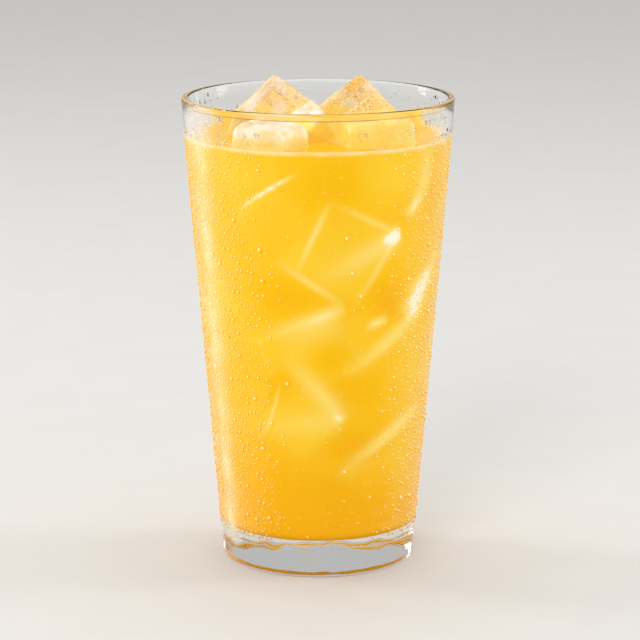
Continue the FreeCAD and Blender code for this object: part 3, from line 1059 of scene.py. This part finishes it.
def beadMesh(wall, radius, kind, seed, sag=beadLook["sag"]):
    # each bead is a cap of a ball that meets the wall at the contact angle, with an uneven outline that
    # sags; it is closed by a flat back just inside the wall
    place, out, across, upward = wall
    spokes, rings, sink = kind["spokes"], kind["rings"], beadLook["sink"]
    dice = np.random.default_rng(seed)
    count = len(radius)
    rim = math.radians(kind["contact"])
    polar = np.linspace(rim, 0, rings + 1)[:-1]
    wide = np.sin(polar) / math.sin(rim)
    tall = (np.cos(polar) - math.cos(rim)) / math.sin(rim)
    turn = np.linspace(0, 2 * math.pi, spokes, endpoint=False)
    phase = dice.uniform(0, 2 * math.pi, (count, 2))
    size = dice.uniform(0.03, 0.16, (count, 2))
    outline = 1 + size[:, :1] * np.cos(2 * turn + phase[:, :1])
    outline = outline + size[:, 1:] * 0.6 * np.cos(3 * turn + phase[:, 1:])
    flatter = dice.uniform(0.75, 1.05, count)
    ball = radius[:, None, None]
    side = ball * wide[:, None] * (outline * np.cos(turn))[:, None, :]
    rise = ball * (wide[:, None] * (outline * np.sin(turn))[:, None, :] - sag * tall[:, None])
    lift = (radius * flatter)[:, None, None] * tall[:, None] - sink + 0 * side
    ringPoints = place[:, None, None] + side[..., None] * across[:, None, None]
    ringPoints = ringPoints + rise[..., None] * upward[:, None, None] + lift[..., None] * out[:, None, None]
    top = (1 - math.cos(rim)) / math.sin(rim)
    tip = place + upward * (-sag * top * radius)[:, None] + out * (radius * flatter * top - sink)[:, None]
    back = place - out * sink
    points = np.concatenate([ringPoints.reshape(count, -1, 3), tip[:, None], back[:, None]], axis=1)
    last = rings * spokes
    single = [ringFaces(rings, spokes), fanFaces(last, np.arange(last - spokes, last), True),
              fanFaces(last + 1, np.arange(spokes), False)]
    # the brim is the lower part of the cap, which beads darken as painted shade; the gleam is a spot towards
    # its upper left, where beads and foam get a painted highlight
    brim = np.concatenate([np.repeat(wide ** 3, spokes), [0, 0]])
    fromGleam = turn - math.radians(beadLook["gleamTurn"])
    ahead, aside = wide[:, None] * np.cos(fromGleam) - 0.5, wide[:, None] * np.sin(fromGleam)
    gleam = np.concatenate([np.exp(-(ahead ** 2 + aside ** 2) / 0.20).ravel(), [0.15, 0]])
    return points.reshape(-1, 3), brim, gleam, manyTimes(single, count, last + 2)


def beadPaint(places, brim, gleam):
    # each bead takes the colour of the juice behind it and of the condensation and painted sheen on the
    # glass, with painted shade darkening its brim and a painted highlight at its gleam; over clear glass it
    # is clear
    look = beadLook
    mistedAndSheened = np.clip(mistAndSheenOver(places) * look["mistedAndSheened"], 0, 1)
    body = mixed(wallTint(places), paint(*glassLook["mistAndSheenColour"]), mistedAndSheened)[:, None]
    each = 0 * body[..., 0]
    tint = mixed(body + 0 * brim[:, None], body * look["brim"], brim[None] + each)
    tint = mixed(tint, paint(*look["gleam"]), look["gleamMost"] * gleam[None] + each)
    height = places[:, 2:] + 0 * brim
    aboveBase = np.clip((height - tumbler["baseThickness"]) / 1.5, 0, 1)
    cover = aboveBase * np.clip(juiceLevel - height, 0, 1) * look["cover"]
    return {"tint": withOnes(tint.reshape(-1, 3)), "cover": cover.ravel()}


def waterFinish():
    # clear water, or the bead's paint, with its painted shade and highlight, where cover says
    look = beadLook
    material, kit = newMaterial("waterBeads")
    water = kit.principled({"Base Color": clearWhite, "Roughness": look["roughness"], "IOR": look["ior"],
                            "Transmission Weight": 1.0})
    lit = kit.principled({"Base Color": kit.attribute("tint", "Color"), "Roughness": look["paintRoughness"],
                          "IOR": look["ior"], "Specular IOR Level": look["paintShine"]})
    kit.finish(kit.lampsThrough(kit.mixShaders(kit.attribute("cover"), water, lit), clearWhite))
    return material


def scatterOnWall(kind, seed, low, high):
    # a grid of places round the wall, each moved a little at random, thinned out towards the front and back
    dice = np.random.default_rng(seed)
    look, pitch = beadLook, kind["pitch"]
    rows = int((high - low) / pitch)
    columns = int(2 * math.pi * outerRadius((low + high) / 2) / pitch)
    row, column = np.meshgrid(np.arange(rows), np.arange(columns), indexing="ij")
    moved = column + 0.5 * (row % 2) + dice.uniform(-look["jitter"], look["jitter"], row.shape)
    around = moved / columns * 2 * math.pi
    height = low + (row + 0.5 + dice.uniform(-look["jitter"], look["jitter"], row.shape)) * pitch
    start = np.where(np.cos(around) < 0, *look["sidesFrom"])
    side = np.clip((np.abs(np.cos(around)) - start) / look["sidesOver"], 0, 1)
    most, least = kind["fill"]
    unevenness = 1 + 0.3 * ripple(onCircle(40, around, height), 24.0, seed + 5)
    keep = dice.uniform(0, 1, row.shape) < (least + (most - least) * side) * unevenness
    radius = np.minimum(mostlySmall(dice, kind["radius"], row.shape, 1.7), pitch * 0.5)
    return around[keep], height[keep], radius[keep]


def clearOf(place, radius, taken):
    # which beads keep clear of all that are placed already; of those, only the ones about as high are tried
    free = np.ones(len(radius), bool)
    for centres, sizes in taken:
        order = np.argsort(centres[:, 2])
        heights = centres[order, 2]
        low = np.searchsorted(heights, place[:, 2] - beadLook["lookFor"])
        high = np.searchsorted(heights, place[:, 2] + beadLook["lookFor"])
        for step in range(int((high - low).max())):
            other = order[np.minimum(low + step, len(order) - 1)]
            gap = np.linalg.norm(place - centres[other], axis=1) - radius - sizes[other]
            free &= (gap > -beadLook["overlap"]) | (low + step >= high)
    return free


def putBeads(name, wall, radius, kind, seed, finish):
    # one kind of bead as one piece, each painted with what lies behind it
    points, brim, gleam, faceSets = beadMesh(wall, radius, kind, seed)
    putMesh(name, points, faceSets, finish, beadPaint(wall[0], brim, gleam), flatSet=2)


def makeBeads():
    # from the large kind to the fine, each kind only where no bead stands yet
    finish = waterFinish()
    taken = []
    for seed, (name, kind) in enumerate(beadKinds.items()):
        around, height, radius = scatterOnWall(
            kind, 100 + seed, beadLook["lowest"], juiceLevel + beadLook["aboveJuice"])
        if name == "beads_large":
            bearings, heights, radii = np.array(largeDrops).T
            around = np.concatenate([np.radians(frontBearing + bearings), around])
            height, radius = np.concatenate([heights, height]), np.concatenate([radii, radius])
        wall = wallFrame(around, height)
        free = clearOf(wall[0], radius, taken)
        wall, radius = [values[free] for values in wall], radius[free]
        taken.append((wall[0], radius))
        putBeads(name, wall, radius, kind, 200 + seed, finish)
    return finish


insideDrops = {
    "count": 240,
    "aboveJuice": (2.2, 10.2),
    "radius": (0.25, 0.75),
    "clearFront": 44.0,
    "leftInFront": 0.12,
    "contact": 65,
    "spokes": 10,
    "rings": 3,
}


def makeInsideDrops(finish):
    # sparse drops on the inner wall above the juice, few of them at the front
    dice = np.random.default_rng(31)
    look = insideDrops
    count = look["count"]
    around = dice.uniform(0, 2 * math.pi, count)
    height = juiceLevel + dice.uniform(*look["aboveJuice"], count)
    radius = mostlySmall(dice, look["radius"], count, 2.2)
    inFront = np.abs(fromFront(around)) < look["clearFront"]
    keep = dice.uniform(0, 1, count) < np.where(inFront, look["leftInFront"], 1.0)
    wall = wallFrame(around[keep], height[keep], inside=True)
    putBeads("inside_drops", wall, radius[keep], look, 32, finish)


# ---- foam ----
foamLook = {
    # cube, corner of the net in its own axes, columns, rows, pitch, radii
    "net": ("ice_cube_2", (-4.6, 0.2, 11.0), 5, 2, 2.15, (0.95, 1.45)),
    "netJitter": 0.25,
    "shoreTries": 9000,
    "shoreRadius": (0.18, 0.6),
    "shoreDepth": (-0.9, 0.1),
    "wallCount": 420,
    "wallRadius": (0.15, 0.42),
    "contact": 82,
    "spokes": 12,
    "rings": 4,
    "brimAndHighlightPaint": (255, 236, 176),
    "brimCover": 0.85,
    "film": (226, 212, 190),
    "filmIor": 1.12,
}


def netPlaces(dice):
    # a net of larger bubbles low on one face of a cube, in staggered rows
    name, corner, columns, rows, pitch, radii = foamLook["net"]
    cube, jitter = cubes[name], foamLook["netJitter"]
    column, row = np.meshgrid(np.arange(columns), np.arange(rows))
    aside = corner[0] + pitch * (column + 0.5 * (row % 2)) + dice.uniform(-jitter, jitter, row.shape)
    rise = corner[1] + pitch * 0.9 * row + dice.uniform(-jitter, jitter, row.shape)
    local = np.stack([aside, rise, corner[2] + 0 * rise], axis=-1).reshape(-1, 3)
    place = local @ cube["turn"].T + cube["centre"]
    across, upward, out = (np.broadcast_to(cube["turn"][:, axis], local.shape) for axis in range(3))
    return place, out, across, upward, dice.uniform(*radii, len(local))


def shorePlaces(dice):
    # small bubbles on the juice round the floating cubes, within a millimetre of them
    tries, wall = foamLook["shoreTries"], cavityRadius(juiceLevel)
    around = dice.uniform(0, 2 * math.pi, tries)
    away = wall * np.sqrt(dice.uniform(0, 1, tries))
    place = onCircle(away, around, juiceLevel)
    depth = np.max([insideDepth(place, cubes[name]) for name in floatingIce], axis=0)
    clump = ripple(place, 9.0, 71) > -0.25
    farthest, deepest = foamLook["shoreDepth"]
    place = place[(depth > farthest) & (depth < deepest) & (away < wall - 1) & clump]
    return place, *flatFrame(len(place)), mostlySmall(dice, foamLook["shoreRadius"], len(place), 2)


def wallPlaces(dice):
    # smaller ones in clumps where the juice meets the glass
    count = foamLook["wallCount"]
    around = dice.uniform(0, 2 * math.pi, count)
    radius = mostlySmall(dice, foamLook["wallRadius"], count, 2)
    place = onCircle(cavityRadius(juiceLevel + climb) - radius * 0.6, around, juiceLevel + climb * 0.7)
    keep = ripple(place, 8.0, 72) > -0.1
    return place[keep], *flatFrame(int(keep.sum())), radius[keep]


def flatFrame(count):
    # outward is straight up, for bubbles that lie on the juice
    axes = ((0, 0, 1), (1, 0, 0), (0, 1, 0))
    return [np.broadcast_to(np.array(axis, float), (count, 3)) for axis in axes]


def makeFoam():
    # three groups of caps as one piece: nearly clear films with pale brims and a painted highlight at the
    # gleam
    dice = np.random.default_rng(70)
    look = foamLook
    groups = [netPlaces(dice), shorePlaces(dice), wallPlaces(dice)]
    *wall, radius = (np.concatenate(parts) for parts in zip(*groups))
    points, brim, gleam, faceSets = beadMesh(wall, radius, look, 73, sag=0.0)
    material, kit = newMaterial("foam")
    film = kit.principled({"Base Color": paintSocket(*look["film"]), "Roughness": 0.02,
                           "IOR": look["filmIor"], "Transmission Weight": 1.0})
    pale = kit.principled({"Base Color": paintSocket(*look["brimAndHighlightPaint"]), "Roughness": 0.2})
    both = kit.mixShaders(kit.attribute("brim") * look["brimCover"], film, pale)
    kit.finish(kit.lampsThrough(both, clearWhite))
    # the pale paint covers the brims, and the gleam at half strength as a painted highlight
    share = np.clip(np.tile(brim + 0.5 * gleam, len(radius)), 0, 1)
    putMesh("foam", points, faceSets, material, {"brim": share}, flatSet=2)


# ---- floor, light and camera ----
studio = {
    "floorColour": (214, 212, 209),
    "floorSpeck": (207, 205, 202),
    "floorRadius": 6000.0,
    "floorCorners": 96,
    "backdrop": 0.50,
    "worldLight": 0.80,
    "cameraDistance": 0.90,
    "cameraHeight": 0.2713,
    "cameraAside": 0.0006,
    "cameraDip": 12.16,
    "lens": 160.9,
    "sensor": 36.0,
    "lampsAimAt": 0.075,
}
lamps = {
    # bearing, distance, height, width, tall, watts
    "left": (160.0, 1.15, 0.45, 0.30, 0.8, 4.5),
    "right": (8.0, 1.15, 0.45, 0.30, 0.8, 4.5),
    "key": (250.0, 1.6, 0.90, 0.7, 0.7, 11.0),
    "top": (90.0, 0.35, 1.3, 0.9, 0.9, 3.0),
}


def makeStudio():
    # a wide pale floor, and a world that lights more brightly than it looks
    count = studio["floorCorners"]
    angle = np.linspace(0, 2 * math.pi, count, endpoint=False)
    mesh = bpy.data.meshes.new("floor")
    mesh.from_pydata((onCircle(studio["floorRadius"], angle, 0) * mm).tolist(), [], [list(range(count))])
    material, kit = newMaterial("paleFloor")
    speck = kit.blend(kit.between(kit.noise(40.0, 4.0), 0.3, 0.7, 0.0, 0.25),
                      paintSocket(*studio["floorColour"]), paintSocket(*studio["floorSpeck"]))
    kit.finish(kit.principled({"Base Color": speck, "Roughness": 0.7}))
    mesh.materials.append(material)
    floor = addToScene("floor", mesh)

    world = bpy.data.worlds.new("studio")
    world.use_nodes = True
    bpy.context.scene.world = world
    kit = NodeKit(world.node_tree)
    seen = kit.rayIs("Camera") | kit.rayIs("Glossy") | kit.rayIs("Transmission")
    light, shown = studio["worldLight"], studio["backdrop"]
    colour = kit.blend(seen, (light, light, light, 1), (shown, shown * 0.99, shown * 0.975, 1))
    glow = kit.add("ShaderNodeBackground", {}, {"Color": colour, "Strength": 1.0})
    kit.finish(glow, "ShaderNodeOutputWorld")


def makeLamps():
    # soft rectangular lamps, each turned to the middle of the glass
    aim = np.array([0, 0, studio["lampsAimAt"]])
    for name, (bearing, distance, height, width, tall, watts) in lamps.items():
        data = bpy.data.lights.new(name, "AREA")
        data.shape = "RECTANGLE"
        data.size, data.size_y = width, tall
        data.energy = watts
        lamp = addToScene(name, data)
        lamp.location = spot = onCircle(distance, math.radians(bearing), height)
        ahead = (aim - spot) / np.linalg.norm(aim - spot)
        dip = math.asin(ahead[2])
        lamp.rotation_euler = (math.pi / 2 + dip, 0, math.atan2(ahead[1], ahead[0]) - math.pi / 2)
        lamp.visible_camera = False


def makeCamera():
    # straight in front, a little above, looking down
    data = bpy.data.cameras.new("camera")
    data.lens = studio["lens"]
    data.sensor_width = studio["sensor"]
    camera = addToScene("camera", data)
    camera.location = (studio["cameraAside"], -studio["cameraDistance"], studio["cameraHeight"])
    camera.rotation_euler = (math.radians(90 - studio["cameraDip"]), 0, 0)
    bpy.context.scene.camera = camera


makeStudio()
makeLamps()
makeCamera()
print("studio ready")
makeTumbler()
makeJuice()
makeFloatingIce()
makeIceBubbles()
makeSunkenIce()
waterBeads = makeBeads()
makeInsideDrops(waterBeads)
makeFoam()
print("pieces made")

bpy.context.scene.view_settings.view_transform = "Standard"
